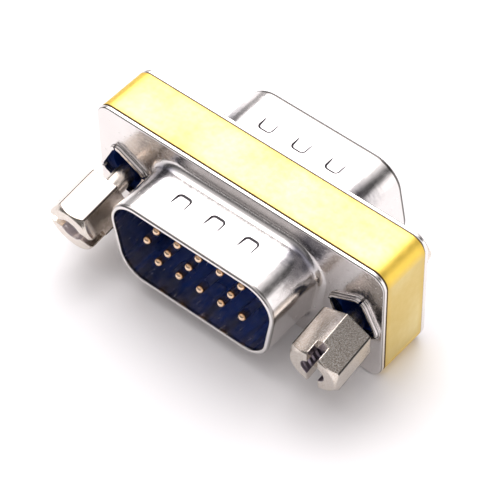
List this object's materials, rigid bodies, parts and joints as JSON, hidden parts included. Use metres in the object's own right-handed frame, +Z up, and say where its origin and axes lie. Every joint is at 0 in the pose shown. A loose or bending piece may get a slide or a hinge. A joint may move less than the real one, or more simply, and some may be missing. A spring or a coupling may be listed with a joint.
{
  "type": "gender changer",
  "caption": "Slim adapter body with a D-shaped pin connector on each face, a yellow band round its edge and two captive hexagon jackscrews.",
  "frame": {"origin": "middle of the base face, under the middle of the body's depth and length", "axes": "+X along the body, -Y out of the front face with the jackscrews' heads, +Z up"},
  "size_m": [0.0308, 0.0191, 0.0127],
  "materials": {
    "yellow_chromated_steel": "satin yellow chromate over zinc",
    "tinned_steel": "bright tin plating",
    "navy_moulding": "smooth moulded",
    "ring_steel": "plain turned",
    "nickel_plated_steel": "nickel plated, turned from hexagon bar",
    "gold_plated_contact": "gold flash"
  },
  "bodies": {
    "body": {"band": "yellow_chromated_steel", "front_shell": "tinned_steel", "rear_shell": "tinned_steel", "front_moulding": "navy_moulding", "rear_moulding": "navy_moulding", "left_ring": "ring_steel", "right_ring": "ring_steel", "contact_1": "gold_plated_contact", "contact_2": "gold_plated_contact", "contact_3": "gold_plated_contact", "contact_4": "gold_plated_contact", "contact_5": "gold_plated_contact", "contact_6": "gold_plated_contact", "contact_7": "gold_plated_contact", "contact_8": "gold_plated_contact", "contact_10": "gold_plated_contact", "contact_11": "gold_plated_contact", "contact_12": "gold_plated_contact", "contact_13": "gold_plated_contact", "contact_14": "gold_plated_contact", "contact_15": "gold_plated_contact"},
    "left_jackscrew": {"left_jackscrew": "nickel_plated_steel"},
    "right_jackscrew": {"right_jackscrew": "nickel_plated_steel"}
  },
  "joints": [
    {"name": "left_jackscrew_slide", "type": "slide", "parent": "body", "child": "left_jackscrew", "axis": [0, -0.9903, -0.1392], "range_m": [-0.00155, 0.00065]},
    {"name": "right_jackscrew_slide", "type": "slide", "parent": "body", "child": "right_jackscrew", "axis": [0.0293, -0.9886, -0.1478], "range_m": [-0.0002, 0.00195]}
  ]
}
